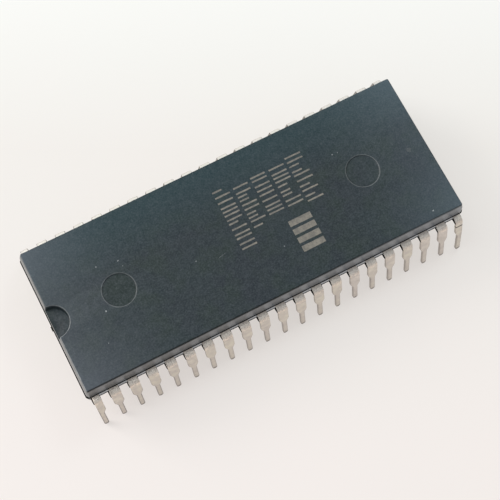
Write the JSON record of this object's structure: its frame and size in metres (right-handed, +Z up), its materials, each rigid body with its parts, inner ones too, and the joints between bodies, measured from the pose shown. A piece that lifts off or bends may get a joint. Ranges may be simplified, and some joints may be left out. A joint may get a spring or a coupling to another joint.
{
  "type": "eprom chip",
  "caption": "Plastic dual in-line memory chip: a dark moulded body with a half-round notch, bent tinned leads down both long sides, and the die, paddle and bond wires inside.",
  "frame": {"origin": "bottom centre of the chip, on the surface that the lead tips stand on", "axes": "+X along the body, away from the notched end; +Y towards the row of leads 22 to 42; +Z up, out of the top face"},
  "size_m": [0.037, 0.0174, 0.0066],
  "materials": {
    "moulding": "fine matte moulded epoxy, charcoal",
    "lead_plating": "satin tin plating over copper alloy",
    "frame_metal": "bare copper alloy sheet",
    "die_glue": "silver-filled glue",
    "silicon": "polished silicon",
    "bond_wire": "bright gold wire"
  },
  "bodies": {
    "root": {"body": "moulding", "die_paddle": "frame_metal", "die_glue": "die_glue", "die": "silicon", "bond_wires": "bond_wire", "lead_01": "lead_plating", "lead_02": "lead_plating", "lead_03": "lead_plating", "lead_04": "lead_plating", "lead_05": "lead_plating", "lead_06": "lead_plating", "lead_07": "lead_plating", "lead_08": "lead_plating", "lead_09": "lead_plating", "lead_10": "lead_plating", "lead_11": "lead_plating", "lead_12": "lead_plating", "lead_13": "lead_plating", "lead_14": "lead_plating", "lead_15": "lead_plating", "lead_16": "lead_plating", "lead_17": "lead_plating", "lead_18": "lead_plating", "lead_19": "lead_plating", "lead_20": "lead_plating", "lead_21": "lead_plating", "lead_22": "lead_plating", "lead_23": "lead_plating", "lead_24": "lead_plating", "lead_25": "lead_plating", "lead_26": "lead_plating", "lead_27": "lead_plating", "lead_28": "lead_plating", "lead_29": "lead_plating", "lead_30": "lead_plating", "lead_31": "lead_plating", "lead_32": "lead_plating", "lead_33": "lead_plating", "lead_34": "lead_plating", "lead_35": "lead_plating", "lead_36": "lead_plating", "lead_37": "lead_plating", "lead_38": "lead_plating", "lead_39": "lead_plating", "lead_40": "lead_plating", "lead_41": "lead_plating", "lead_42": "lead_plating"}
  },
  "joints": []
}
